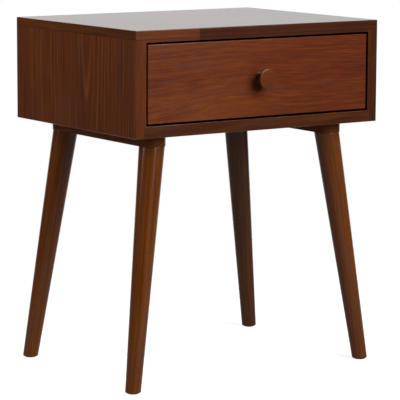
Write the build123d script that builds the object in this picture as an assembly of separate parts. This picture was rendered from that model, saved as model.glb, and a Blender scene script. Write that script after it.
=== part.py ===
from build123d import *
import math
import os

# A bedside table: a wooden case with one inset drawer, on four turned, splayed legs.
# The legs screw into two rails under the case; the drawer runs on a pair of
# ball-bearing slides, each with a fixed channel, a moving channel and a ball cage.
#
# Millimetres. The origin is on the floor, under the middle of the overall box.
# +Z is up, +X is to the right of someone facing the drawer, and the front is -Y.

# ---- Case --------------------------------------------------------------------
case_width = 500.0
case_depth = 385.0
overall_height = 605.0
case_height = 177.0
top_thickness = 20.0
side_thickness = 20.0
bottom_thickness = 20.0
lap_depth = 5.0             # how far the top and the bottom are let into the sides
edge_radius = 1.2           # rounding of the outer edges
inner_edge_radius = 0.6     # rounding of the edges round the drawer

back_thickness = 5.0
back_recess = 1.0           # the back panel sits this far inside the rear face
back_lap = 8.0              # width of the rebate that the back panel lies in
back_play = 0.5             # room between the back panel's edges and its rebate
back_screws_per_row = 3
back_screw_end_margin = 60.0
back_screws_per_side = 2
back_screw_side_margin = 35.0

case_dowel_diameter = 8.0
case_dowel_long_end = 22.0  # in the end grain of the side or of the bottom
case_dowel_short_end = 10.0
case_dowel_margin = 50.0    # first and last dowel, from the front and from the rear

# ---- Leg rails, legs and feet --------------------------------------------------
rail_thickness = 20.0
rail_end_radius = 23.0      # half the rail's width: its ends are round
rail_inset_side = 66.5      # leg centre at the rail's underside, from the case's side
rail_inset_front = 54.5     # and from the case's front or rear
leg_top_radius = 21.8
leg_foot_radius = 13.4
splay_side = 8.0            # degrees outwards
splay_front = 4.3           # degrees to the front or to the rear
leg_top_rounding = 1.2
leg_foot_rounding = 2.5
glide_diameter = 18.0
glide_height = 1.5
glide_pin_diameter = 4.0
glide_pin_length = 12.0

hanger_bolt_diameter = 8.0
hanger_bolt_in_leg = 34.0
hanger_bolt_in_rail = 15.0
insert_diameter = 12.0
insert_length = 16.0
rail_screws_per_rail = 3
rail_screw_end_margin = 60.0  # first and last screw, from the centres of the round ends

# ---- Drawer --------------------------------------------------------------------
front_gap = 3.5             # gap all round the drawer front
front_recess = 1.0          # the drawer front sits this far behind the case's front
front_thickness = 19.0
front_edge_radius = 1.0

box_board = 12.0
box_height = 100.0
box_lift = 14.0             # underside of the drawer box above the case's floor
box_edge_radius = 1.5
tray_thickness = 4.0        # the drawer's bottom sheet
tray_lift = 12.0            # its underside above the box's lower edge
groove_depth = 5.0
groove_play = 0.5
box_dowel_diameter = 6.0
box_dowel_long_end = 20.0
box_dowel_short_end = 7.0
box_dowel_inset = 25.0      # lowest dowel above the groove, highest one below the top edge
front_screw_inset_x = 60.0
front_screw_inset_z = 28.0

buffer_diameter = 10.0
buffer_gap = 0.5            # left between the closed drawer's buffers and the back panel
buffer_inset_x = 80.0
buffer_inset_z = 20.0

# ---- Knob ----------------------------------------------------------------------
knob_diameter = 35.0
knob_projection = 24.0
knob_base_diameter = 20.0
knob_neck_diameter = 16.0
knob_base_height = 1.5      # straight part at the drawer front
knob_neck_height = 8.0      # narrowest place, from the drawer front
knob_rim_height = 4.2       # thickness of the head's rim
knob_rim_rounding = 1.8
knob_dome = 0.7             # how far the face's centre stands beyond its rim
knob_insert_diameter = 7.0
knob_insert_length = 10.0
knob_screw_diameter = 4.0
knob_screw_engagement = 8.0
washer_diameter = 10.0
washer_thickness = 0.8

# ---- Slides --------------------------------------------------------------------
slide_thickness = 12.7
slide_height = 35.0
slide_sheet = 1.2
slide_setback = 2.0         # from the back of the drawer front
slide_rear_room = 7.0       # from the slide's rear end to the back panel
slide_lift = 38.0           # centre of the slide above the box's lower edge
slide_overlap = 90.0        # length of the two channels still overlapping when open
slide_stop = 2.0            # length of the stop lug at the fixed channel's front
slide_stop_width = 12.0
slide_play = 0.4            # lengthwise room between the cage and each stop
slide_screw_margin = 37.0
slide_channel_gap = 1.5     # between the fixed channel's edges and the moving one's web
ball_play = 0.1
ball_pitch = 11.0
cage_sheet = 0.8
cage_gap = 0.7              # on each side of the cage's web
cage_lip_gap = 0.5          # between the cage's flanges and the channels' lips
cage_end_margin = 7.0       # from the cage's end to the centre of its last ball

# ---- Screws: (shank diameter, head diameter, head height, length) ---------------
back_screw = (3.0, 5.6, 1.7, 16.0)
rail_screw = (4.5, 8.6, 2.6, 35.0)
slide_case_screw = (3.5, 6.4, 1.8, 15.0)
slide_box_screw = (3.5, 6.6, 1.5, 11.0)
drawer_front_screw = (4.0, 8.0, 2.2, 25.0)
knob_screw_head = (8.0, 2.4)  # head diameter, head height

# ---- Places worked out from the sizes --------------------------------------------
knob_reach = knob_projection - front_recess
front_y = knob_reach / 2 - case_depth / 2
back_y = front_y + case_depth
middle_y = (front_y + back_y) / 2
case_bottom = overall_height - case_height
floor_top = case_bottom + bottom_thickness
ceiling = overall_height - top_thickness
seam_z = ceiling + lap_depth
inner_half = case_width / 2 - side_thickness
bottom_half = inner_half + lap_depth
back_inner_y = back_y - back_recess - back_thickness
back_outer_y = back_y - back_recess

rail_bottom = case_bottom - rail_thickness
rail_x = case_width / 2 - rail_inset_side
rail_y = case_depth / 2 - rail_inset_front
leg_slope_x = math.tan(math.radians(splay_side))
leg_slope_y = math.tan(math.radians(splay_front))

front_half = inner_half - front_gap
front_low = floor_top + front_gap
front_high = ceiling - front_gap
front_face_y = front_y + front_recess
front_rear_y = front_face_y + front_thickness
knob_z = (front_low + front_high) / 2

slide_front_y = front_rear_y + slide_setback
slide_length = back_inner_y - slide_rear_room - slide_front_y
slide_rear_y = slide_front_y + slide_length
travel = slide_length - slide_overlap
box_half = inner_half - slide_thickness
box_inner_half = box_half - box_board
box_low = floor_top + box_lift
box_high = box_low + box_height
box_rear_y = front_rear_y + slide_length
tray_low = box_low + tray_lift
tray_high = tray_low + tray_thickness
slide_z = box_low + slide_lift

moving_tip_u = slide_sheet + cage_gap + cage_sheet + cage_gap
ball_diameter = (slide_thickness - moving_tip_u - slide_sheet - 2 * ball_play
                 - slide_sheet - slide_channel_gap - slide_sheet)
ball_room = ball_diameter / 2 + ball_play
slide_lip = ball_room - cage_sheet / 2 - cage_lip_gap
race_u = moving_tip_u + slide_sheet + ball_room
fixed_tip_u = race_u + ball_room + slide_sheet
race_v = slide_height / 2 - slide_sheet - ball_room
cage_length = slide_overlap - slide_stop - slide_sheet - 2 * slide_play
cage_front_y = slide_front_y + travel / 2 + slide_stop + slide_play


# ---- Helpers ---------------------------------------------------------------------
def block(x, y, z):
    """A rectangular block between pairs of limits."""
    size = [limits[1] - limits[0] for limits in (x, y, z)]
    centre = [(limits[0] + limits[1]) / 2 for limits in (x, y, z)]
    return Pos(*centre) * Box(*size)


def rod(start, direction, diameter, length):
    """A cylinder that starts at a point and runs along a direction."""
    return Plane(origin=start, z_dir=direction) * Cylinder(
        diameter / 2, length, align=(Align.CENTER, Align.CENTER, Align.MIN))


def cone(start, direction, start_radius, end_radius, length):
    return Plane(origin=start, z_dir=direction) * Cone(
        start_radius, end_radius, length, align=(Align.CENTER, Align.CENTER, Align.MIN))


def dowel(start, direction, diameter, length):
    """A wooden dowel with chamfered ends."""
    pin = rod(start, direction, diameter, length)
    return chamfer(pin.edges().filter_by(GeomType.CIRCLE), diameter / 8)


def flat_screw(start, direction, sizes):
    """A countersunk screw, from the middle of its flat head along its shank."""
    shank, head, head_height, length = sizes
    tip = shank
    body = cone(start, direction, head / 2, shank / 2, head_height)
    along = Vector(*direction).normalized()
    body += rod(Vector(*start) + along * head_height, direction, shank,
                length - head_height - tip)
    body += cone(Vector(*start) + along * (length - tip), direction, shank / 2,
                 shank / 8, tip)
    return body - cross_recess(start, direction, head, head_height * 0.6)


def pan_screw(seat, direction, sizes):
    """A pan-head screw. The head stands back from its seat, the shank goes forward."""
    shank, head, head_height, length = sizes
    tip = shank
    along = Vector(*direction).normalized()
    top = Vector(*seat) - along * head_height
    cap = rod(top, direction, head, head_height)
    rim = cap.edges().filter_by(GeomType.CIRCLE).sort_by(
        lambda edge: (edge.center() - top).length)[0]
    body = fillet(rim, head_height * 0.6)
    body += rod(seat, direction, shank, length - tip)
    body += cone(Vector(*seat) + along * (length - tip), direction, shank / 2,
                 shank / 8, tip)
    return body - cross_recess(top, direction, head, head_height * 0.6)


def cross_recess(start, direction, head, depth):
    """The driver's cross in a screw head."""
    long_side, short_side = head * 0.55, head * 0.13
    cross = Box(long_side, short_side, depth) + Box(short_side, long_side, depth)
    return Plane(origin=start, z_dir=direction) * (Pos(0, 0, depth / 2) * cross)


def flat_screw_hole(start, direction, sizes):
    """The countersunk hole that the screw fills."""
    shank, head, head_height, length = sizes
    along = Vector(*direction).normalized()
    hole = cone(start, direction, head / 2, shank / 2, head_height)
    return hole + rod(Vector(*start) + along * head_height, direction, shank,
                      length - head_height)


def group(solids):
    return Compound(children=list(solids))


def cut(body, tools):
    for tool in tools:
        body -= tool
    return body


def spaced(first, last, count):
    step = (last - first) / (count - 1)
    return [first + step * index for index in range(count)]


def at(edges, **limits):
    """Edges whose middle lies at the given x, y or z."""
    near = 0.01
    found = edges
    for name, value in limits.items():
        axis = {"x": "X", "y": "Y", "z": "Z"}[name]
        found = found.filter_by(
            lambda edge, axis=axis, value=value:
            abs(getattr(edge.center(), axis) - value) < near)
    return found


def mirrored(shape):
    """The same piece on the other side of the drawer."""
    return mirror(shape, about=Plane.YZ)


# ---- Where the fasteners go ---------------------------------------------------------
dowel_rows_y = spaced(front_y + case_dowel_margin, back_y - case_dowel_margin, 3)
side_middle = case_width / 2 - side_thickness / 2
bottom_middle = case_bottom + bottom_thickness / 2


def top_dowel_starts():
    return [(side * side_middle, y, seam_z - case_dowel_long_end)
            for side in (-1, 1) for y in dowel_rows_y]


def bottom_dowel_places():
    """Start point and direction of each dowel between the bottom and a side."""
    return [((side * (bottom_half - case_dowel_long_end), y, bottom_middle), (side, 0, 0))
            for side in (-1, 1) for y in dowel_rows_y]


def back_screw_starts():
    half_x = inner_half + back_lap / 2
    low, high = floor_top - back_lap / 2, ceiling + back_lap / 2
    rows = spaced(back_screw_end_margin - half_x, half_x - back_screw_end_margin,
                  back_screws_per_row)
    columns = spaced(low + back_screw_side_margin, high - back_screw_side_margin,
                     back_screws_per_side)
    places = [(x, back_outer_y, z) for z in (low, high) for x in rows]
    places += [(side * half_x, back_outer_y, z) for side in (-1, 1) for z in columns]
    return places


def rail_screw_starts():
    last = rail_y - rail_screw_end_margin
    return [(side * rail_x, middle_y + y, rail_bottom)
            for side in (-1, 1) for y in spaced(-last, last, rail_screws_per_rail)]


def slide_screw_rows():
    return spaced(slide_front_y + slide_screw_margin, slide_rear_y - slide_screw_margin, 3)


def front_screw_seats():
    x = box_inner_half - front_screw_inset_x
    return [(side * x, front_rear_y + box_board, z) for side in (-1, 1)
            for z in (tray_high + front_screw_inset_z, box_high - front_screw_inset_z)]


def box_dowel_places():
    """Start point and direction of each dowel at the drawer box's corners."""
    start = box_inner_half - box_dowel_long_end
    heights = (tray_high + box_dowel_inset, box_high - box_dowel_inset)
    ends = (front_rear_y + box_board / 2, box_rear_y - box_board / 2)
    return [((side * start, y, z), (side, 0, 0))
            for side in (-1, 1) for y in ends for z in heights]


def leg_corners():
    return [(side, end) for end in (-1, 1) for side in (-1, 1)]


def leg_axis_point(side, end, z):
    """The point of a leg's centre line at a height."""
    down = rail_bottom - z
    return Vector(side * (rail_x + leg_slope_x * down),
                  middle_y + end * (rail_y + leg_slope_y * down), z)


# ---- Case pieces ----------------------------------------------------------------------
def back_rebate():
    return block((-inner_half - back_lap, inner_half + back_lap), (back_inner_y, back_y),
                 (floor_top - back_lap, ceiling + back_lap))


def top_dowel_bores():
    length = case_dowel_long_end + case_dowel_short_end
    return [rod(start, (0, 0, 1), case_dowel_diameter, length)
            for start in top_dowel_starts()]


def bottom_dowel_bores():
    length = case_dowel_long_end + case_dowel_short_end
    return [rod(start, way, case_dowel_diameter, length)
            for start, way in bottom_dowel_places()]


def back_screw_bores():
    return [flat_screw_hole(start, (0, -1, 0), back_screw) for start in back_screw_starts()]


def make_top_panel():
    half = case_width / 2
    board = block((-half, half), (front_y, back_y), (ceiling, overall_height))
    for side in (-1, 1):
        ends = sorted((side * inner_half, side * half))
        board -= block(ends, (front_y, back_y), (ceiling, seam_z))
    edges = board.edges()
    rim = at(edges, z=overall_height)
    corners = at(edges, z=(seam_z + overall_height) / 2).filter_by(Axis.Z)
    board = fillet(rim + corners, edge_radius)
    lower_front = at(board.edges(), z=ceiling, y=front_y)
    board = fillet(lower_front, inner_edge_radius)
    return cut(board, [back_rebate()] + top_dowel_bores() + back_screw_bores())


def make_side_panel():
    """The left side; the right one is its mirror image."""
    half = case_width / 2
    board = block((-half, -inner_half), (front_y, back_y), (case_bottom, seam_z))
    board -= block((-bottom_half, -inner_half), (front_y, back_y),
                   (case_bottom, floor_top))
    edges = board.edges()
    uprights = at(edges, x=-half).filter_by(Axis.Z)
    foot_line = at(edges, z=case_bottom, x=-half)
    foot_ends = at(edges, z=case_bottom, x=-(half + bottom_half) / 2)
    board = fillet(uprights + foot_line + foot_ends, edge_radius)
    inner_upright = at(board.edges(), x=-inner_half, y=front_y).filter_by(Axis.Z)
    board = fillet(inner_upright, inner_edge_radius)
    tools = [back_rebate()] + top_dowel_bores() + bottom_dowel_bores()
    tools += back_screw_bores() + slide_case_screw_bores()
    return cut(board, tools)


def make_bottom_panel():
    board = block((-bottom_half, bottom_half), (front_y, back_y), (case_bottom, floor_top))
    edges = board.edges()
    lower = at(edges, z=case_bottom, y=front_y) + at(edges, z=case_bottom, y=back_y)
    board = fillet(lower, edge_radius)
    board = fillet(at(board.edges(), z=floor_top, y=front_y), inner_edge_radius)
    tools = [back_rebate()] + bottom_dowel_bores() + back_screw_bores()
    tools += [flat_screw_hole(start, (0, 0, 1), rail_screw) for start in rail_screw_starts()]
    return cut(board, tools)


def make_back_panel():
    half = inner_half + back_lap - back_play
    sheet = block((-half, half), (back_inner_y, back_outer_y),
                  (floor_top - back_lap + back_play, ceiling + back_lap - back_play))
    return cut(sheet, back_screw_bores())


def make_back_panel_screws():
    return group(flat_screw(start, (0, -1, 0), back_screw) for start in back_screw_starts())


def make_top_dowels():
    length = case_dowel_long_end + case_dowel_short_end
    return group(dowel(start, (0, 0, 1), case_dowel_diameter, length)
                 for start in top_dowel_starts())


def make_bottom_dowels():
    length = case_dowel_long_end + case_dowel_short_end
    return group(dowel(start, way, case_dowel_diameter, length)
                 for start, way in bottom_dowel_places())


# ---- Leg rails, legs and feet ------------------------------------------------------------
def leg_direction(side, end):
    return leg_axis_point(side, end, case_bottom) - leg_axis_point(side, end, 0)


def hanger_bolt(side, end):
    way = leg_direction(side, end).normalized()
    top = leg_axis_point(side, end, rail_bottom)
    return rod(top - way * hanger_bolt_in_leg, way, hanger_bolt_diameter,
               hanger_bolt_in_leg + hanger_bolt_in_rail)


def insert_blank(side, end):
    """The threaded insert's outer shape, trimmed flush with the rail's underside."""
    way = leg_direction(side, end).normalized()
    top = leg_axis_point(side, end, rail_bottom)
    run_out = insert_diameter / 2
    blank = rod(top - way * run_out, way, insert_diameter, run_out + insert_length)
    reach = insert_diameter + insert_length
    room = block((top.X - reach, top.X + reach), (top.Y - reach, top.Y + reach),
                 (rail_bottom, case_bottom))
    return blank & room


def make_rail(side):
    x = side * rail_x
    flat = block((x - rail_end_radius, x + rail_end_radius),
                 (middle_y - rail_y, middle_y + rail_y), (rail_bottom, case_bottom))
    for end in (-1, 1):
        flat += rod((x, middle_y + end * rail_y, rail_bottom), (0, 0, 1),
                    2 * rail_end_radius, rail_thickness)
    lower = flat.edges().group_by(Axis.Z)[0]
    rail = fillet(lower, inner_edge_radius)
    tools = [insert_blank(side, end) for end in (-1, 1)]
    tools += [flat_screw_hole(start, (0, 0, 1), rail_screw) for start in rail_screw_starts()]
    return cut(rail, tools)


def make_rail_screws():
    return group(flat_screw(start, (0, 0, 1), rail_screw) for start in rail_screw_starts())


def make_rail_inserts():
    return group(insert_blank(side, end) - hanger_bolt(side, end)
                 for side, end in leg_corners())


def make_hanger_bolts():
    return group(hanger_bolt(side, end) for side, end in leg_corners())


def glide_blank(side, end):
    """A nail-on glide: a disc under the foot with a pin up into the leg."""
    centre = leg_axis_point(side, end, glide_height)
    disc = rod((centre.X, centre.Y, 0), (0, 0, 1), glide_diameter, glide_height)
    lower = disc.edges().group_by(Axis.Z)[0]
    disc = fillet(lower, glide_height / 2)
    return disc + rod(centre, (0, 0, 1), glide_pin_diameter, glide_pin_length)


def make_leg(side, end):
    foot = leg_axis_point(side, end, glide_height)
    top = leg_axis_point(side, end, rail_bottom)
    way = (top - foot).normalized()
    length = (top - foot).length
    taper = (leg_top_radius - leg_foot_radius) / length
    spare = leg_foot_radius
    turned = cone(foot - way * spare, way, leg_foot_radius - taper * spare,
                  leg_top_radius + taper * spare, length + 2 * spare)
    reach = leg_top_radius * 2
    low = [min(a, b) - reach for a, b in ((foot.X, top.X), (foot.Y, top.Y))]
    high = [max(a, b) + reach for a, b in ((foot.X, top.X), (foot.Y, top.Y))]
    leg = turned & block((low[0], high[0]), (low[1], high[1]), (glide_height, rail_bottom))
    rings = leg.edges().filter_by(lambda edge: edge.is_closed).sort_by(Axis.Z)
    leg = fillet(rings[0], leg_foot_rounding)
    rings = leg.edges().filter_by(lambda edge: edge.is_closed).sort_by(Axis.Z)
    leg = fillet(rings[-1], leg_top_rounding)
    return cut(leg, [hanger_bolt(side, end), glide_blank(side, end)])


def make_foot_glides():
    return group(glide_blank(side, end) for side, end in leg_corners())


# ---- Slides ----------------------------------------------------------------------------------
# A slide's section is drawn in (u, v): u from the case's side towards the drawer,
# v up from the slide's centre line.
def section(points, start_y, length):
    """A left-hand section pulled along the drawer's travel."""
    outline = [(-inner_half + u, start_y, slide_z + v) for u, v in points]
    return extrude(make_face(Polyline(*outline, close=True)), length, dir=(0, 1, 0))


def channel_points(web_u, tip_u, outer_v, inner_v, lip_v):
    """Outline of a channel with a lip at the tip of each flange."""
    side = 1 if tip_u > web_u else -1
    web_face = web_u + side * slide_sheet
    lip_face = tip_u - side * slide_sheet
    outward = lip_v > outer_v
    upper = [(web_u, outer_v)]
    if outward:
        upper += [(lip_face, outer_v), (lip_face, lip_v), (tip_u, lip_v), (tip_u, inner_v)]
    else:
        upper += [(tip_u, outer_v), (tip_u, lip_v), (lip_face, lip_v), (lip_face, inner_v)]
    upper += [(web_face, inner_v)]
    lower = [(u, -v) for u, v in reversed(upper)]
    return upper + lower


def slide_case_screw_places():
    """Start and direction of each screw through a fixed channel into a side."""
    u = slide_sheet
    return [((side * (inner_half - u), y, slide_z), (side, 0, 0))
            for side in (-1, 1) for y in slide_screw_rows()]


def slide_case_screw_bores():
    return [flat_screw_hole(start, way, slide_case_screw)
            for start, way in slide_case_screw_places()]


def slide_box_screw_places():
    """Seat and direction of each screw through a moving channel into the box."""
    seat = box_half + slide_sheet
    return [((side * seat, y, slide_z), (-side, 0, 0))
            for side in (-1, 1) for y in slide_screw_rows()]


def slide_box_screw_bores():
    shank, _, _, length = slide_box_screw
    return [rod(seat, way, shank, length) for seat, way in slide_box_screw_places()]


def make_fixed_channel():
    """The left slide's channel on the case; the right one is its mirror image."""
    flange_face = slide_height / 2 - slide_sheet
    points = channel_points(0, fixed_tip_u, slide_height / 2, flange_face,
                            flange_face - slide_lip)
    channel = section(points, slide_front_y, slide_length)
    lug_u = moving_tip_u - cage_gap
    channel += block((-inner_half, -inner_half + lug_u),
                     (slide_front_y, slide_front_y + slide_stop),
                     (slide_z - slide_stop_width / 2, slide_z + slide_stop_width / 2))
    return cut(channel, slide_case_screw_bores())


def make_moving_channel():
    """The left slide's channel on the drawer."""
    flange_face = race_v - ball_room
    points = channel_points(slide_thickness, moving_tip_u, flange_face,
                            flange_face - slide_sheet, flange_face + slide_lip)
    channel = section(points, slide_front_y, slide_length)
    lug_u = slide_sheet + cage_gap
    channel += block((-inner_half + lug_u, -inner_half + slide_thickness),
                     (slide_rear_y - slide_sheet, slide_rear_y),
                     (slide_z - slide_stop_width / 2, slide_z + slide_stop_width / 2))
    return cut(channel, slide_box_screw_bores())


def ball_centres():
    """Ball centres of the left slide, in whole pitches about the cage's middle."""
    count = int((cage_length - 2 * cage_end_margin) / ball_pitch) + 1
    middle = cage_front_y + cage_length / 2
    rows = [middle + ball_pitch * (index - (count - 1) / 2) for index in range(count)]
    return [(-inner_half + race_u, y, slide_z + end * race_v) for end in (-1, 1) for y in rows]


def make_ball_cage():
    web = slide_sheet + cage_gap
    tip = fixed_tip_u - slide_sheet / 2
    half = race_v + cage_sheet / 2
    upper = [(web, half), (tip, half), (tip, half - cage_sheet),
             (web + cage_sheet, half - cage_sheet)]
    lower = [(u, -v) for u, v in reversed(upper)]
    cage = section(upper + lower, cage_front_y, cage_length)
    pockets = [rod((x, y, z - cage_sheet), (0, 0, 1), ball_diameter + 2 * ball_play,
                   2 * cage_sheet) for x, y, z in ball_centres()]
    return cut(cage, pockets)


def make_slide_balls():
    return group(Pos(*centre) * Sphere(ball_diameter / 2) for centre in ball_centres())


def make_slide_case_screws():
    return group(flat_screw(start, way, slide_case_screw)
                 for start, way in slide_case_screw_places())


def make_slide_box_screws():
    return group(pan_screw(seat, way, slide_box_screw)
                 for seat, way in slide_box_screw_places())


# ---- Drawer ------------------------------------------------------------------------------------
def tray_blank(play):
    """The drawer's bottom sheet, or with no play the grooves that hold it."""
    reach = groove_depth - play
    return block((-box_inner_half - reach, box_inner_half + reach),
                 (front_rear_y + box_board - reach, box_rear_y - box_board + reach),
                 (tray_low, tray_high))


def box_dowel_bores():
    length = box_dowel_long_end + box_dowel_short_end
    return [rod(start, way, box_dowel_diameter, length) for start, way in box_dowel_places()]


def front_screw_bores():
    shank, _, _, length = drawer_front_screw
    return [rod(seat, (0, -1, 0), shank, length) for seat in front_screw_seats()]


def knob_screw_bore():
    return rod((0, front_rear_y + box_board, knob_z), (0, -1, 0), knob_screw_diameter,
               box_board + front_thickness + knob_screw_engagement)


def make_drawer_front():
    board = block((-front_half, front_half), (front_face_y, front_rear_y),
                  (front_low, front_high))
    board = fillet(at(board.edges(), y=front_face_y), front_edge_radius)
    return cut(board, front_screw_bores() + [knob_screw_bore()])


def box_end(y):
    """The drawer box's front or rear board, between its sides."""
    board = block((-box_inner_half, box_inner_half), (y, y + box_board), (box_low, box_high))
    upper = board.edges().filter_by(Axis.X).group_by(Axis.Z)[-1]
    return cut(fillet(upper, box_edge_radius), [tray_blank(0)] + box_dowel_bores())


def make_box_front():
    return cut(box_end(front_rear_y), front_screw_bores() + [knob_screw_bore()])


def make_box_back():
    return box_end(box_rear_y - box_board)


def make_box_side():
    """The drawer box's left side; the right one is its mirror image."""
    board = block((-box_half, -box_inner_half), (front_rear_y, box_rear_y),
                  (box_low, box_high))
    upper = board.edges().filter_by(Axis.Y).group_by(Axis.Z)[-1]
    board = fillet(upper, box_edge_radius)
    return cut(board, [tray_blank(0)] + box_dowel_bores() + slide_box_screw_bores())


def make_drawer_bottom():
    return tray_blank(groove_play)


def make_box_dowels():
    length = box_dowel_long_end + box_dowel_short_end
    return group(dowel(start, way, box_dowel_diameter, length)
                 for start, way in box_dowel_places())


def make_front_screws():
    return group(pan_screw(seat, (0, -1, 0), drawer_front_screw)
                 for seat in front_screw_seats())


def make_buffers():
    length = back_inner_y - buffer_gap - box_rear_y
    z = box_high - buffer_inset_z
    pads = []
    for side in (-1, 1):
        pad = rod((side * (box_inner_half - buffer_inset_x), box_rear_y, z), (0, 1, 0),
                  buffer_diameter, length)
        pads.append(fillet(pad.edges().group_by(Axis.Y)[-1], buffer_diameter / 8))
    return group(pads)


# ---- Knob ------------------------------------------------------------------------------------------
def knob_insert_blank():
    return rod((0, front_face_y, knob_z), (0, -1, 0), knob_insert_diameter,
               knob_insert_length)


def make_knob():
    """A turned mushroom knob: half its section, spun about its own axis."""
    base, neck, head = knob_base_diameter / 2, knob_neck_diameter / 2, knob_diameter / 2
    face = knob_projection - knob_dome
    rim_back = face - knob_rim_height
    flat = head - knob_rim_rounding
    dome_radius = (flat ** 2 + knob_dome ** 2) / (2 * knob_dome)
    dome_middle = knob_projection - dome_radius + math.sqrt(dome_radius ** 2 - flat ** 2 / 4)

    def point(radius, height):
        return (radius, front_face_y - height, knob_z)

    outline = [
        Line(point(0, 0), point(base, 0)),
        Line(point(base, 0), point(base, knob_base_height)),
        Spline(point(base, knob_base_height), point(neck, knob_neck_height),
               point(flat, rim_back), tangents=[(-0.5, -1, 0), (1, -0.45, 0)]),
        ThreePointArc(point(flat, rim_back), point(head, face - knob_rim_height / 2),
                      point(flat, face)),
        ThreePointArc(point(flat, face), point(flat / 2, dome_middle),
                      point(0, knob_projection)),
        Line(point(0, knob_projection), point(0, 0)),
    ]
    half_section = make_face(outline)
    knob = revolve(half_section, Axis((0, 0, knob_z), (0, 1, 0)), 360)
    return knob - knob_insert_blank()


def make_knob_insert():
    return knob_insert_blank() - knob_screw_bore()


def make_knob_screw():
    head, head_height = knob_screw_head
    seat_y = front_rear_y + box_board + washer_thickness
    cap = rod((0, seat_y, knob_z), (0, 1, 0), head, head_height)
    cap = fillet(cap.edges().group_by(Axis.Y)[-1], head_height * 0.6)
    length = washer_thickness + box_board + front_thickness + knob_screw_engagement
    screw = cap + rod((0, seat_y, knob_z), (0, -1, 0), knob_screw_diameter, length)
    return screw - cross_recess((0, seat_y + head_height, knob_z), (0, -1, 0), head,
                                head_height * 0.6)


def make_knob_washer():
    seat_y = front_rear_y + box_board
    washer = rod((0, seat_y, knob_z), (0, 1, 0), washer_diameter, washer_thickness)
    return washer - rod((0, seat_y, knob_z), (0, 1, 0), knob_screw_diameter,
                        washer_thickness)


# ---- Every piece by name -------------------------------------------------------------------------------
side_panel = make_side_panel()
fixed_channel = make_fixed_channel()
moving_channel = make_moving_channel()
ball_cage = make_ball_cage()
slide_balls = make_slide_balls()
box_side = make_box_side()

pieces = {
    "top_panel": make_top_panel(),
    "left_side_panel": side_panel,
    "right_side_panel": mirrored(side_panel),
    "bottom_panel": make_bottom_panel(),
    "back_panel": make_back_panel(),
    "back_panel_screws": make_back_panel_screws(),
    "top_dowels": make_top_dowels(),
    "bottom_dowels": make_bottom_dowels(),
    "left_leg_rail": make_rail(-1),
    "right_leg_rail": make_rail(1),
    "rail_screws": make_rail_screws(),
    "rail_inserts": make_rail_inserts(),
    "leg_hanger_bolts": make_hanger_bolts(),
    "front_left_leg": make_leg(-1, -1),
    "front_right_leg": make_leg(1, -1),
    "back_left_leg": make_leg(-1, 1),
    "back_right_leg": make_leg(1, 1),
    "foot_glides": make_foot_glides(),
    "left_slide_fixed_channel": fixed_channel,
    "right_slide_fixed_channel": mirrored(fixed_channel),
    "slide_case_screws": make_slide_case_screws(),
    "left_slide_moving_channel": moving_channel,
    "right_slide_moving_channel": mirrored(moving_channel),
    "slide_drawer_screws": make_slide_box_screws(),
    "left_ball_cage": ball_cage,
    "right_ball_cage": mirrored(ball_cage),
    "left_slide_balls": slide_balls,
    "right_slide_balls": mirrored(slide_balls),
    "drawer_front": make_drawer_front(),
    "drawer_box_front": make_box_front(),
    "drawer_box_back": make_box_back(),
    "drawer_left_side": box_side,
    "drawer_right_side": mirrored(box_side),
    "drawer_bottom": make_drawer_bottom(),
    "drawer_dowels": make_box_dowels(),
    "drawer_front_screws": make_front_screws(),
    "drawer_buffers": make_buffers(),
    "drawer_knob": make_knob(),
    "knob_insert": make_knob_insert(),
    "knob_screw": make_knob_screw(),
    "knob_washer": make_knob_washer(),
}

os.makedirs("parts", exist_ok=True)
for name, shape in pieces.items():
    export_step(shape, f"parts/{name}.step")
print(len(pieces), "pieces; drawer travel", round(travel, 2), "slide length",
      round(slide_length, 2))
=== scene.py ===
import bpy
import math
from mathutils import Matrix, Vector


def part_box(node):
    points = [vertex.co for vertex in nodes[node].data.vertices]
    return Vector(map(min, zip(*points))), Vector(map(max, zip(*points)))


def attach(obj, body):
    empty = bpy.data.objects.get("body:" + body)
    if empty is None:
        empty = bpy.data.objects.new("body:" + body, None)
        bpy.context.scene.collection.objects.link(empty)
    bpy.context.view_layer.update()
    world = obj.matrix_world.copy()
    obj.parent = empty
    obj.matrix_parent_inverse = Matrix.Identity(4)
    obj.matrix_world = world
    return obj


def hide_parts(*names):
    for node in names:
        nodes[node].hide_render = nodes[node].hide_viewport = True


# A bedside table in stained, satin-lacquered wood, with a pale drawer box on steel slides.
# The knob is turned again here. Every other piece keeps its shape from the frame, and gets
# its finish here.

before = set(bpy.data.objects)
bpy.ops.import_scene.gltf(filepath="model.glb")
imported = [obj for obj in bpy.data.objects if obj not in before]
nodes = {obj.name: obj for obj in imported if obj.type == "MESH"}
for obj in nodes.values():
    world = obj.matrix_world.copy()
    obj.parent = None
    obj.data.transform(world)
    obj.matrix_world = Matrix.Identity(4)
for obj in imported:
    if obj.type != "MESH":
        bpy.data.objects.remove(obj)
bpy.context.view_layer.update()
mm = 0.001
ACROSS, DEPTHWAYS, UPRIGHT = (1, 0, 0), (0, 1, 0), (0, 0, 1)
case_middle = (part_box("left_side_panel")[0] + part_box("right_side_panel")[1]) / 2
stave_width = 64 * mm
leg_splay_sideways, leg_splay_forwards = math.radians(8.0), math.radians(4.3)
knob_base_radius, knob_base_height = 10 * mm, 1.5 * mm
knob_neck_radius, knob_neck_height = 8 * mm, 8 * mm
knob_rim, knob_rounding, knob_dome = 4.2 * mm, 1.8 * mm, 0.7 * mm


# ---- Shader building blocks ------------------------------------------------------------
def new_material(name):
    material = bpy.data.materials.new(name)
    material.use_nodes = True
    material.node_tree.nodes.clear()
    return material, material.node_tree


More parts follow.
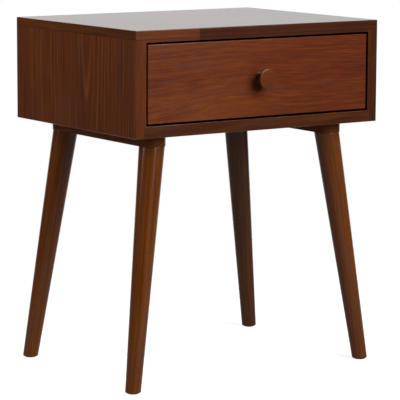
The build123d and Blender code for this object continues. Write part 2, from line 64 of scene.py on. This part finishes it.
def add(tree, kind, inputs=None, **settings):
    """One shader node. Inputs are plain values or other nodes' outputs."""
    node = tree.nodes.new("ShaderNode" + kind)
    for name, value in settings.items():
        setattr(node, name, value)
    for name, value in (inputs or {}).items():
        if isinstance(value, bpy.types.NodeSocket):
            tree.links.new(value, node.inputs[name])
        else:
            node.inputs[name].default_value = value
    return node


def calc(tree, operation, first, second=0.0, third=0.0):
    inputs = {0: first, 1: second, 2: third}
    return add(tree, "Math", inputs, operation=operation).outputs[0]


def total(tree, *values):
    result = values[0]
    for value in values[1:]:
        result = calc(tree, "ADD", result, value)
    return result


def swing(tree, value, amount):
    """A value from 0 to 1, made into a swing of plus or minus half the amount."""
    return calc(tree, "MULTIPLY_ADD", value, amount, -amount / 2)


def between(tree, value, low, high, to_low=0.0, to_high=1.0):
    """A smooth step of value, from to_low at low to to_high at high."""
    inputs = {"Value": value, "From Min": low, "From Max": high,
              "To Min": to_low, "To Max": to_high}
    return add(tree, "MapRange", inputs, interpolation_type="SMOOTHSTEP").outputs[0]


def blend_colours(tree, factor, first, second, mode="MIX"):
    node = tree.nodes.new("ShaderNodeMix")
    node.data_type = "RGBA"
    node.blend_type = mode
    for index, value in ((0, factor), (6, first), (7, second)):
        if isinstance(value, bpy.types.NodeSocket):
            tree.links.new(value, node.inputs[index])
        else:
            node.inputs[index].default_value = value if index == 0 else (*value, 1.0)
    return node.outputs[2]


def colour_steps(tree, factor, steps):
    """A colour ramp from (place, colour) steps."""
    node = add(tree, "ValToRGB", {"Fac": factor})
    ramp = node.color_ramp
    while len(ramp.elements) < len(steps):
        ramp.elements.new(0.5)
    for element, (place, colour) in zip(ramp.elements, steps):
        element.position = place
        element.color = (*colour, 1.0)
    return node.outputs["Color"]


def object_place(tree):
    return add(tree, "TexCoord").outputs["Object"]


def noise(tree, place, lengths, detail=2.0, roughness=0.5, seed=0.0):
    """Noise whose lumps have these lengths, in metres, along X, Y and Z of the place."""
    scale = tuple(1 / length for length in lengths)
    shifted = add(tree, "Mapping", {"Vector": place, "Scale": scale,
                                    "Location": (seed, 1.7 * seed, 2.3 * seed)}).outputs[0]
    inputs = {"Vector": shifted, "Scale": 1.0, "Detail": detail, "Roughness": roughness}
    return add(tree, "TexNoise", inputs, noise_dimensions="3D").outputs["Fac"]


def grain_place(tree, middle, along):
    """Object coordinates from the piece's middle, with X turned along the grain."""
    turn = Vector(along).rotation_difference(Vector((1, 0, 0))).to_matrix()
    inputs = {"Vector": object_place(tree), "Location": -(turn @ Vector(middle)),
              "Rotation": turn.to_euler()}
    return add(tree, "Mapping", inputs, vector_type="POINT").outputs[0]


def faded(colour, share):
    """The colour with only this share of its light."""
    return tuple(channel * share for channel in colour)


# ---- Wood ------------------------------------------------------------------------------
# A stain is its darkest, middle and lightest tone. A full coat of lacquer leaves a faint
# violet bloom on it.
stain_bloom = (0.115, 0.050, 0.040)
case_stain = ((0.080, 0.0160, 0.0050), (0.205, 0.0460, 0.0085), (0.36, 0.105, 0.017))
leg_stain = ((0.100, 0.0230, 0.0020), (0.200, 0.0490, 0.0030), (0.31, 0.088, 0.006))
knob_stain = ((0.080, 0.0150, 0.0020), (0.165, 0.0340, 0.0035), (0.25, 0.065, 0.007))
rail_stain = ((0.080, 0.0190, 0.0040), (0.170, 0.0410, 0.0060), (0.27, 0.078, 0.010))
pale_wood = ((0.52, 0.34, 0.19), (0.67, 0.49, 0.31), (0.77, 0.61, 0.43))
veneer = ((0.50, 0.33, 0.18), (0.63, 0.45, 0.27), (0.72, 0.55, 0.37))


def sideways_bend(tree, along, spot, width, height):
    """A bump in the grain at one spot along the board, as round a knot outside it."""
    away = calc(tree, "MULTIPLY_ADD", along, 1 / width, -spot / width)
    fall = calc(tree, "MULTIPLY", calc(tree, "MULTIPLY", away, away), -1.0)
    return calc(tree, "MULTIPLY", calc(tree, "EXPONENT", fall), -height)


def distance_from_pith(tree, place, pith, lean, wander, seed, bend=None):
    """How far a point of the board lies from the middle of the tree it was sawn from."""
    split = add(tree, "SeparateXYZ", {0: place})
    squares = []
    for axis, name in enumerate("YZ"):
        slow = noise(tree, place, (0.30, 0.10, 0.10), seed=seed + axis)
        shift = calc(tree, "MULTIPLY_ADD", split.outputs["X"], lean[axis], -pith[axis])
        off = total(tree, split.outputs[name], swing(tree, slow, wander), shift)
        if bend and axis == 0:
            off = total(tree, off, sideways_bend(tree, split.outputs["X"], *bend))
        squares.append(calc(tree, "MULTIPLY", off, off))
    reach = calc(tree, "SQRT", calc(tree, "ADD", *squares))
    flow = add(tree, "CombineXYZ", {"X": split.outputs["X"], "Y": reach,
                                    "Z": split.outputs["Z"]}).outputs[0]
    return reach, flow


def edge_distance(tree, low, high):
    """Distance from a board's nearest long or short edge, in metres."""
    middle, half = (low + high) / 2, (high - low) / 2
    split = add(tree, "SeparateXYZ", {0: object_place(tree)})
    depths = []
    for axis in range(3):
        off = calc(tree, "ABSOLUTE", calc(tree, "SUBTRACT", split.outputs[axis], middle[axis]))
        depths.append(calc(tree, "SUBTRACT", half[axis], off))
    nearer = calc(tree, "MINIMUM", depths[0], depths[1])
    further = calc(tree, "MAXIMUM", depths[0], depths[1])
    return calc(tree, "MAXIMUM", nearer, calc(tree, "MINIMUM", further, depths[2]))


def seam_lines(tree, seams):
    """A fine dark glue line at each (axis, place), on a board's outer faces."""
    split = add(tree, "SeparateXYZ", {0: object_place(tree)})
    line = None
    for axis, spot in seams:
        off = calc(tree, "ABSOLUTE", calc(tree, "SUBTRACT", split.outputs[axis], spot))
        mark = between(tree, off, 0.9 * mm, 0.2 * mm)
        line = mark if line is None else calc(tree, "MAXIMUM", line, mark)
    return line


def staves(tree, low, high, width):
    """A top glued up from staves, each butt-jointed once: every length's own tone, from
    0 to 1, and the glue lines between them. Joints and tones go on by an uneven step, so
    that no two neighbours match."""
    first_joint, first_tone, step = 0.25, 0.9, 0.37
    length = high.x - low.x
    split = add(tree, "SeparateXYZ", {0: object_place(tree)})
    across = calc(tree, "MULTIPLY_ADD", split.outputs["Y"], 1 / width, -low.y / width)
    row = calc(tree, "FLOOR", across)
    share = calc(tree, "FRACT", calc(tree, "MULTIPLY_ADD", row, step, first_joint))
    past = calc(tree, "SUBTRACT", split.outputs["X"],
                calc(tree, "MULTIPLY_ADD", share, length, low.x))
    number = calc(tree, "MULTIPLY_ADD", row, 2.0, calc(tree, "GREATER_THAN", past, 0.0))
    tone = calc(tree, "FRACT", calc(tree, "MULTIPLY_ADD", number, step, first_tone))
    side = calc(tree, "MULTIPLY", calc(tree, "PINGPONG", across, 0.5), width)
    nearest = calc(tree, "MINIMUM", side, calc(tree, "ABSOLUTE", past))
    return tone, between(tree, nearest, 0.5 * mm, 0.1 * mm)


def facing(tree):
    """Which way the surface faces, split into X, Y and Z."""
    return add(tree, "SeparateXYZ", {0: add(tree, "TexCoord").outputs["Normal"]})


def shadowed_faces(tree, kind):
    """The faces that get painted shade, as in the gap round the drawer: the case's inside, which
    looks towards its middle, or a front's edges."""
    if kind == "edges":
        return calc(tree, "LESS_THAN", calc(tree, "ABSOLUTE", facing(tree).outputs["Y"]), 0.1)
    inward = add(tree, "VectorMath", {0: tuple(case_middle), 1: object_place(tree)},
                 operation="SUBTRACT").outputs[0]
    turned = add(tree, "VectorMath", {0: add(tree, "TexCoord").outputs["Normal"], 1: inward},
                 operation="DOT_PRODUCT").outputs["Value"]
    return calc(tree, "GREATER_THAN", turned, 20 * mm)


def banded_place(tree, place, middle):
    """The place, with the grain turned along the depth on the board's two end faces."""
    on_end = calc(tree, "GREATER_THAN", calc(tree, "ABSOLUTE", facing(tree).outputs["X"]), 0.7)
    mixed = add(tree, "Mix", {0: on_end, 4: place, 5: grain_place(tree, middle, DEPTHWAYS)},
                data_type="VECTOR")
    return on_end, mixed.outputs[1]


def glued_up_place(tree, place, middle, low, high, width):
    """The place in a glued-up top, with new grain in each stave, and the same grain along
    the two ends; the staves' tones, and the glue lines between them."""
    end_tone, jump_to_new_grain = 0.3, 3.1
    on_end, place = banded_place(tree, place, middle)
    tone, joints = staves(tree, low, high, width)
    tone = add(tree, "Mix", {0: on_end, 2: tone, 3: end_tone}, data_type="FLOAT").outputs[0]
    joints = calc(tree, "MULTIPLY", joints, calc(tree, "SUBTRACT", 1.0, on_end))
    jump = calc(tree, "MULTIPLY", tone, jump_to_new_grain)
    shift = add(tree, "CombineXYZ", {"X": jump}).outputs[0]
    place = add(tree, "VectorMath", {0: place, 1: shift}, operation="ADD").outputs[0]
    return place, tone, joints


def growth_rings(tree, place, reach, ring, seed):
    """The dark late wood of each year, stronger in some patches than in others."""
    turns = calc(tree, "DIVIDE", reach, ring)
    uneven = add(tree, "TexNoise", {"W": turns, "Scale": 0.41, "Detail": 2.0},
                 noise_dimensions="1D").outputs["Fac"]
    year = calc(tree, "FRACT", calc(tree, "MULTIPLY_ADD", uneven, 1.8, turns))
    late_wood = colour_steps(tree, year, [(0.0, (0.1, 0.1, 0.1)), (0.5, (0, 0, 0)),
                                          (0.86, (1, 1, 1)), (1.0, (0.1, 0.1, 0.1))])
    patch = between(tree, noise(tree, place, (0.16, 0.05, 0.05), seed=seed), 0.35, 0.65,
                    0.25, 1.0)
    return calc(tree, "MULTIPLY", late_wood, patch)


def wash_along(tree, place, cloud, tints):
    """A tint that changes along the board, from (place, tint) steps, with a wavering line."""
    split = add(tree, "SeparateXYZ", {0: place})
    waver = calc(tree, "MULTIPLY_ADD", cloud, 0.16, split.outputs["X"])
    low, high = tints[0][0], tints[-1][0]
    along_board = between(tree, calc(tree, "SUBTRACT", waver, 0.08), low, high)
    steps = [((spot - low) / (high - low), tint) for spot, tint in tints]
    return colour_steps(tree, along_board, steps)


def stave_lift(tree, tone, on_front):
    """How much lighter or darker than the stain each stave is, and more so on the front."""
    lift = calc(tree, "MULTIPLY_ADD", calc(tree, "POWER", tone, 2.5), 0.75, 0.7)
    lift = calc(tree, "POWER", lift, calc(tree, "MULTIPLY_ADD", on_front, 0.8, 1.0))
    return add(tree, "CombineColor", {0: lift, 1: lift, 2: lift}).outputs[0]


def worn_edges(tree, place, low, high, worn, seed):
    """Where a board's edges are lightened, in broken stretches: wear of the lacquer, and a
    painted highlight along them.
    """
    edge_wear_and_highlight = between(tree, edge_distance(tree, low, high), 1.6 * mm, 0.2 * mm)
    broken = noise(tree, place, (0.03, 0.006, 0.006), 3.0, 0.6, seed)
    return calc(tree, "MULTIPLY", edge_wear_and_highlight, between(tree, broken, 0.4, 0.75, 0.15 * worn, worn))


def lacquered(tree, colour, height, rough, coat, gloss):
    """The stained wood under its coat, with the grain felt less on the coat than under it."""
    under = add(tree, "Bump", {"Height": height, "Strength": 1.0, "Distance": 0.05 * mm})
    over = add(tree, "Bump", {"Height": height, "Strength": 0.3, "Distance": 0.05 * mm})
    shader = add(tree, "BsdfPrincipled", {
        "Base Color": colour, "Roughness": rough, "IOR": 1.5, "Specular IOR Level": 0.1,
        "Coat Weight": coat, "Coat Roughness": gloss, "Coat IOR": 1.5,
        "Normal": under.outputs[0], "Coat Normal": over.outputs[0]})
    add(tree, "OutputMaterial", {"Surface": shader.outputs[0]})


def wood(name, middle, along, stain, pith=(0.03, 0.05), lean=(0.02, 0.05), ring=6 * mm,
         wander=12 * mm, bend=None, figure=0.4, streaks=1.0, seed=0.0, gloss=0.16, coat=1.0,
         streak_lengths=(0.12, 0.0045, 0.02), tints=None, glued_up=None,
         edges=None, seams=(), shade=1.0, front_edge=1.0, dull=None, worn=0.35):
    """Wood with its grain along one direction, under a coat of lacquer.

    Pith is where the middle of the tree lay, to the board's side and above it, and lean is
    how fast the board's length runs away from it. Ring is the width of a year's growth.
    Figure is how strongly the rings show, below zero where the late wood is the paler.
    Shade darkens the whole board and front_edge its front face; shade is the board's own tone,
    and on the back right leg, and a little on the front right one, a painted shade. The dull
    argument names the faces darkened as painted shade, the case's inside and the drawer front's
    edges in the gap round it; and worn is how strongly the edges are lightened, as wear of the
    lacquer and a painted highlight along them."""
    material, tree = new_material(name)
    place = grain_place(tree, middle, along)
    if glued_up:
        place, stave_tone, joints = glued_up_place(tree, place, middle, *glued_up)
    reach, flow = distance_from_pith(tree, place, pith, lean, wander, seed, bend)
    rings = calc(tree, "MULTIPLY", growth_rings(tree, place, reach, ring, seed + 2), -figure)
    broad = noise(tree, flow, (0.30, 0.020, 0.05), seed=seed + 3)
    fine = noise(tree, flow, streak_lengths, 3.0, 0.6, seed + 4)
    fibre = noise(tree, place, (0.040, 0.0010, 0.0010), 3.0, 0.65, seed + 5)
    cloud = noise(tree, place, (0.22, 0.07, 0.07), seed=seed + 6)
    tone = total(tree, calc(tree, "ADD", rings, 0.5 + 0.28 * figure),
                 swing(tree, broad, 0.3 * streaks), swing(tree, fine, 0.8 * streaks),
                 swing(tree, fibre, 0.5), swing(tree, cloud, 0.5))
    dark, middle_tone, light = (faded(paint, shade) for paint in stain)
    colour = colour_steps(tree, tone, [(0.0, dark), (0.5, middle_tone), (1.0, light)])
    if coat == 1.0:
        bloom = between(tree, noise(tree, place, (0.09, 0.02, 0.02), 3.0, 0.6, seed + 9),
                        0.45, 0.7)
        colour = blend_colours(tree, calc(tree, "MULTIPLY", bloom, 0.3), colour,
                               faded(stain_bloom, shade))
    # Painted light along the board: on the drawer front, a greyish sheen at the left end and
    # painted shade towards the right.
    if tints:
        colour = blend_colours(tree, 1.0, colour, wash_along(tree, place, cloud, tints),
                               "MULTIPLY")
    on_front = calc(tree, "LESS_THAN", facing(tree).outputs["Y"], -0.7)
    if glued_up:
        colour = blend_colours(tree, 1.0, colour, stave_lift(tree, stave_tone, on_front),
                               "MULTIPLY")
        colour = blend_colours(tree, calc(tree, "MULTIPLY", joints, 0.6), colour,
                               faded(dark, 0.4))
    # Painted shade: the faces named here are darkened, as in the shade of the gap round the
    # drawer and of the case's inside.
    if dull:
        colour = blend_colours(tree, shadowed_faces(tree, dull), colour, (0.3, 0.3, 0.3),
                               "MULTIPLY")
    if front_edge != 1.0:
        colour = blend_colours(tree, on_front, colour, (front_edge,) * 3, "MULTIPLY")
    dashes = noise(tree, place, (0.006, 0.00032, 0.00032), 1.0, 0.5, seed + 7)
    pores = between(tree, dashes, 0.62, 0.72)
    colour = blend_colours(tree, calc(tree, "MULTIPLY", pores, 0.5), colour, faded(dark, 0.35))
    # Lightened edges: partly wear of the lacquer, partly a painted highlight along the eased
    # edges.
    if edges:
        edge_wear_and_highlight = worn_edges(tree, place, *edges, worn, seed + 8)
        colour = blend_colours(tree, edge_wear_and_highlight, colour, light)
    if seams:
        colour = blend_colours(tree, calc(tree, "MULTIPLY", seam_lines(tree, seams), 0.75),
                               colour, faded(dark, 0.3))
    height = calc(tree, "MULTIPLY_ADD", pores, -0.8, calc(tree, "MULTIPLY", fibre, 0.5))
    rough = total(tree, calc(tree, "MULTIPLY_ADD", fibre, 0.12, 0.42), swing(tree, cloud, 0.06))
    lacquered(tree, colour, height, rough, coat, gloss)
    return material


# ---- Metal, rubber and plastic ---------------------------------------------------------
def rolled_steel(name, tint, along, rough=0.32, seed=0.0):
    """Plated strip, with fine lines along its rolling direction."""
    material, tree = new_material(name)
    place = grain_place(tree, (0, 0, 0), along)
    lines = noise(tree, place, (0.06, 0.0005, 0.0005), 3.0, 0.6, seed)
    spangle = noise(tree, place, (0.012, 0.009, 0.009), 3.0, 0.6, seed + 4)
    colour = blend_colours(tree, between(tree, spangle, 0.3, 0.7), tint, faded(tint, 0.8))
    roughness = calc(tree, "MULTIPLY_ADD", lines, 0.22, rough - 0.08)
    bump = add(tree, "Bump", {"Height": lines, "Strength": 0.3, "Distance": 0.03 * mm})
    shader = add(tree, "BsdfPrincipled", {
        "Base Color": colour, "Metallic": 1.0, "Roughness": roughness,
        "Normal": bump.outputs[0]})
    add(tree, "OutputMaterial", {"Surface": shader.outputs[0]})
    return material


def moulded(name, tint, rough, grit=0.6 * mm):
    """Rubber or plastic with a fine matt texture."""
    material, tree = new_material(name)
    grain = noise(tree, object_place(tree), (grit, grit, grit))
    colour = blend_colours(tree, grain, faded(tint, 0.75), tint)
    bump = add(tree, "Bump", {"Height": grain, "Strength": 0.4, "Distance": 0.05 * mm})
    roughness = calc(tree, "MULTIPLY_ADD", grain, 0.15, rough)
    shader = add(tree, "BsdfPrincipled", {
        "Base Color": colour, "Roughness": roughness, "Normal": bump.outputs[0]})
    add(tree, "OutputMaterial", {"Surface": shader.outputs[0]})
    return material


# ---- Give every piece its finish -------------------------------------------------------
def finish_with(material, *names):
    for name in names:
        for slot in nodes[name].material_slots:
            slot.material = material


def middle_of(name):
    low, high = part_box(name)
    return (low + high) / 2


def board(name, along, stain, **details):
    """One piece in its own wood, with its own lightened edges, wear of the lacquer and a painted
    highlight, unless it has none.
    """
    details.setdefault("edges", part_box(name))
    finish_with(wood(name + "_wood", middle_of(name), along, stain, **details), name)


# Painted light across the drawer front: a greyish sheen towards its left end, and painted shade
# darkening it towards the right.
front_tints = [(-0.22, (0.98, 0.98, 1.35)), (0.0, (0.92, 0.77, 0.75)), (0.22, (0.80, 0.63, 0.6))]
top_seam = ("Z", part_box("left_side_panel")[1].z)
bottom_seams = [("X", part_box("bottom_panel")[0].x), ("X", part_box("bottom_panel")[1].x)]

board("top_panel", ACROSS, case_stain, pith=(-0.06, -0.09), lean=(0.003, 0.005), seed=1.0,
      seams=[top_seam], glued_up=(*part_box("top_panel"), stave_width), shade=0.95,
      front_edge=1.3, dull="inside")
board("left_side_panel", UPRIGHT, case_stain, pith=(-0.040, -0.0155), lean=(0.0, -0.053),
      ring=9 * mm, figure=-0.45, wander=4 * mm, seed=7.0, seams=[top_seam], streaks=0.8,
      front_edge=0.8, dull="inside", worn=0.6)
board("right_side_panel", UPRIGHT, case_stain, pith=(0.02, 0.06), lean=(0.02, 0.05),
      ring=7 * mm, seed=8.0, seams=[top_seam], shade=0.75, front_edge=0.44, dull="inside")
board("bottom_panel", ACROSS, case_stain, pith=(0.05, -0.07), seed=17.0,
      seams=bottom_seams, streaks=1.6, shade=0.8, front_edge=0.56, dull="inside", worn=0.9)
board("drawer_front", ACROSS, case_stain, pith=(0.10, -0.12), lean=(0.03, 0.02), ring=5 * mm,
      wander=5 * mm, bend=(-0.06, 0.10, -12 * mm), figure=0.2, seed=23.0,
      streak_lengths=(0.05, 0.0028, 0.02), tints=front_tints, dull="edges")
for number, name in enumerate(("left_leg_rail", "right_leg_rail")):
    board(name, DEPTHWAYS, rail_stain, seed=31.0 + number, edges=None)

# Each leg was turned from another length of wood, and took the stain its own way. The back right
# leg, and a little the front right one, are also darkened as painted shade, the shade they stand
# in under the case.
leg_tones_and_painted_shade = {"front_left_leg": 0.98, "front_right_leg": 0.9, "back_left_leg": 1.05,
              "back_right_leg": 0.55}
for number, (name, shade) in enumerate(leg_tones_and_painted_shade.items()):
    lean_right = math.tan(leg_splay_sideways) * (1 if "left" in name else -1)
    lean_back = math.tan(leg_splay_forwards) * (1 if "front" in name else -1)
    board(name, Vector((lean_right, lean_back, 1.0)).normalized(), leg_stain, edges=None,
          pith=(0.04, 0.03), lean=(0.01, 0.01), ring=5 * mm, figure=0.35,
          seed=41.0 + number, shade=shade)


def quarter_turn(start):
    """Ten equal steps of a quarter turn from the start, in radians."""
    return [math.radians(start + 90 * step / 10) for step in range(1, 11)]


def knob_steps(head, reach):
    """Radius and height of each step: the cove over the base, the flare under the head, its
    rounded rim, its domed face."""
    steps = [(knob_base_radius, knob_base_height)]
    for turn in quarter_turn(0):
        steps.append((knob_neck_radius + (knob_base_radius - knob_neck_radius) * math.cos(turn),
                      knob_base_height
                      + (knob_neck_height - knob_base_height) * math.sin(turn)))
    rim_back = reach - knob_dome - knob_rim
    under = head - knob_rounding
    for turn in quarter_turn(0):
        steps.append((knob_neck_radius + (under - knob_neck_radius) * (1 - math.cos(turn)),
                      knob_neck_height + (rim_back - knob_neck_height) * math.sin(turn)))
    rim_front = reach - knob_dome
    for start, middle in ((-90, rim_back + knob_rounding), (0, rim_front - knob_rounding)):
        for turn in quarter_turn(start):
            steps.append((under + knob_rounding * math.cos(turn),
                          middle + knob_rounding * math.sin(turn)))
    rings_on_face = 10
    for step in range(1, rings_on_face):
        share = 1 - step / rings_on_face
        steps.append((under * share, reach - knob_dome * share ** 2))
    return steps


def turned_knob():
    """The mushroom knob, drawn out from its base in steps, with a gently domed face."""
    low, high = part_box("drawer_knob")
    middle = (low + high) / 2
    head, reach = (high.x - low.x) / 2, high.y - low.y
    bpy.ops.object.select_all(action="DESELECT")
    bpy.ops.mesh.primitive_circle_add(
        vertices=64, radius=knob_base_radius, fill_type="NGON",
        location=(middle.x, high.y, middle.z), rotation=(math.radians(90), 0, 0))
    knob = bpy.context.object
    knob.name = "turned_knob"
    bpy.ops.object.transform_apply()
    bpy.ops.object.mode_set(mode="EDIT")
    radius, out = knob_base_radius, 0.0
    for next_radius, next_out in knob_steps(head, reach):
        bpy.ops.mesh.extrude_region_move(
            TRANSFORM_OT_translate={"value": (0, out - next_out, 0)})
        share = next_radius / radius
        bpy.ops.transform.resize(value=(share, 1, share),
                                 center_override=(middle.x, high.y - next_out, middle.z))
        radius, out = next_radius, next_out
    bpy.ops.mesh.select_all(action="SELECT")
    bpy.ops.mesh.normals_make_consistent(inside=False)
    bpy.ops.object.mode_set(mode="OBJECT")
    bpy.ops.object.shade_smooth_by_angle(angle=math.radians(50))
    knob.data.materials.append(
        wood("knob_wood", middle, ACROSS, knob_stain, ring=3 * mm, pith=(0.0, 0.03),
             wander=3 * mm, streak_lengths=(0.03, 0.002, 0.01), seed=53.0))
    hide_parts("drawer_knob")
    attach(knob, "drawer")


turned_knob()

thin_coat = {"coat": 0.15, "gloss": 0.4, "figure": 0.3, "streaks": 0.6}
for number, name in enumerate(("drawer_box_front", "drawer_box_back")):
    board(name, ACROSS, pale_wood, seed=61.0 + number, **thin_coat)
for number, name in enumerate(("drawer_left_side", "drawer_right_side")):
    board(name, DEPTHWAYS, pale_wood, seed=65.0 + number, **thin_coat)
for number, name in enumerate(("back_panel", "drawer_bottom")):
    board(name, ACROSS, veneer, coat=0.1, gloss=0.45, figure=0.3, streaks=0.5,
          ring=9 * mm, streak_lengths=(0.20, 0.003, 0.003), seed=71.0 + number)
finish_with(wood("beech_dowel", (0, 0, 0), ACROSS, pale_wood, coat=0.0, figure=0.2,
                 seed=77.0), "top_dowels", "bottom_dowels", "drawer_dowels")

finish_with(rolled_steel("zinc_strip", (0.62, 0.63, 0.65), DEPTHWAYS),
            "left_slide_fixed_channel", "right_slide_fixed_channel",
            "left_slide_moving_channel", "right_slide_moving_channel")
finish_with(rolled_steel("cage_strip", (0.5, 0.51, 0.53), DEPTHWAYS, 0.4, 3.0),
            "left_ball_cage", "right_ball_cage")
finish_with(rolled_steel("bearing_steel", (0.75, 0.76, 0.78), UPRIGHT, 0.12, 5.0),
            "left_slide_balls", "right_slide_balls")
finish_with(rolled_steel("zinc_screw", (0.60, 0.60, 0.58), UPRIGHT, 0.34, 8.0),
            "back_panel_screws", "rail_screws", "slide_case_screws", "slide_drawer_screws",
            "drawer_front_screws", "knob_screw", "knob_washer", "rail_inserts",
            "leg_hanger_bolts")
finish_with(rolled_steel("brass_insert", (0.78, 0.58, 0.27), DEPTHWAYS, 0.3, 11.0),
            "knob_insert")
finish_with(moulded("glide_plastic", (0.05, 0.035, 0.028), 0.45), "foot_glides")
finish_with(moulded("buffer_rubber", (0.03, 0.03, 0.032), 0.7), "drawer_buffers")


# ---- Studio ----------------------------------------------------------------------------
floor_dimming = 0.85    # the share of the floor that only the eye sees
aim_height = 0.45


def pale_floor():
    """A pale floor that fades into the white surroundings and lights the table little. It
    is clear from beneath."""
    bpy.ops.mesh.primitive_circle_add(vertices=96, radius=4.0, fill_type="NGON")
    floor = bpy.context.object
    floor.name = "floor"
    material, tree = new_material("pale_floor")
    place = object_place(tree)
    reach = add(tree, "VectorMath", {0: place}, operation="LENGTH").outputs["Value"]
    speckle = noise(tree, place, (0.03, 0.03, 0.03))
    paint = colour_steps(tree, speckle, [(0.3, (0.78, 0.78, 0.78)), (0.7, (0.8, 0.8, 0.8))])
    lit = add(tree, "BsdfDiffuse", {"Color": paint}).outputs[0]
    glow = add(tree, "Emission", {"Color": (1, 1, 1, 1), "Strength": 0.76}).outputs[0]
    surface = add(tree, "AddShader", {0: lit, 1: glow}).outputs[0]
    clear = add(tree, "BsdfTransparent").outputs[0]
    seen = add(tree, "LightPath").outputs["Is Camera Ray"]
    dimmed = calc(tree, "MULTIPLY_ADD", seen, -floor_dimming, floor_dimming)
    beneath = add(tree, "NewGeometry").outputs["Backfacing"]
    fading = calc(tree, "MAXIMUM", between(tree, reach, 0.8, 2.0),
                  calc(tree, "MAXIMUM", dimmed, beneath))
    mixed = add(tree, "MixShader", {0: fading, 1: surface, 2: clear}).outputs[0]
    add(tree, "OutputMaterial", {"Surface": mixed})
    floor.data.materials.append(material)


def studio_surroundings():
    """White to the eye; to the lacquer, a dim room with a bright backdrop behind."""
    world = bpy.data.worlds.new("studio")
    world.use_nodes = True
    tree = world.node_tree
    tree.nodes.clear()
    way = add(tree, "TexCoord").outputs["Generated"]
    turn = math.radians(34.6)
    backdrop = Vector((math.sin(turn), math.cos(turn), 0.12)).normalized()
    towards_backdrop = add(tree, "VectorMath", {0: way, 1: backdrop},
                           operation="DOT_PRODUCT").outputs["Value"]
    glow = between(tree, towards_backdrop, 0.62, 0.86, 0.015, 0.755)
    room = add(tree, "Background", {"Color": (1, 1, 1, 1), "Strength": glow})
    white = add(tree, "Background", {"Color": (1, 1, 1, 1), "Strength": 1.0})
    seen = add(tree, "LightPath").outputs["Is Camera Ray"]
    mixed = add(tree, "MixShader", {0: seen, 1: room.outputs[0], 2: white.outputs[0]})
    add(tree, "OutputWorld", {"Surface": mixed.outputs[0]})
    bpy.context.scene.world = world


def soft_light(name, heading, height, distance, width, tall, brightness):
    """A soft box, aimed at the table. Heading is in degrees from the front, to the right;
    brightness is its own, so a larger box gives more light."""
    light = bpy.data.lights.new(name, "AREA")
    light.shape = "RECTANGLE"
    light.size, light.size_y = width, tall
    light.energy = brightness * math.pi * width * tall
    lamp = bpy.data.objects.new(name, light)
    bpy.context.scene.collection.objects.link(lamp)
    turn = math.radians(heading)
    spot = Vector((distance * math.sin(turn), -distance * math.cos(turn), height))
    lamp.location = spot
    aim = Vector((0, 0, aim_height)) - spot
    lamp.rotation_euler = aim.to_track_quat("-Z", "Y").to_euler()


def camera():
    """The view from the front left, with the eye a little above the table's top."""
    spot = Vector((-2.2160, -3.2119, 0.8785))
    heading, tilt, roll = math.radians(34.623), math.radians(8.639), math.radians(0.249)
    lens = bpy.data.cameras.new("camera")
    lens.sensor_width = 36.0
    lens.lens = 201.56
    eye = bpy.data.objects.new("camera", lens)
    bpy.context.scene.collection.objects.link(eye)
    turn = (Matrix.Rotation(-heading, 4, "Z") @ Matrix.Rotation(math.pi / 2 - tilt, 4, "X")
            @ Matrix.Rotation(roll, 4, "Z"))
    eye.matrix_world = Matrix.Translation(spot) @ turn
    bpy.context.scene.camera = eye


pale_floor()
studio_surroundings()
soft_light("key", heading=17, height=1.9, distance=2.7, width=2.0, tall=2.0, brightness=5.3)
soft_light("front_box", heading=0, height=1.5, distance=3.6, width=0.7, tall=1.9,
           brightness=3.0)
soft_light("left_box", heading=-104, height=1.35, distance=1.7, width=0.5, tall=1.7,
           brightness=5.0)
camera()
bpy.context.scene.view_settings.view_transform = "Standard"
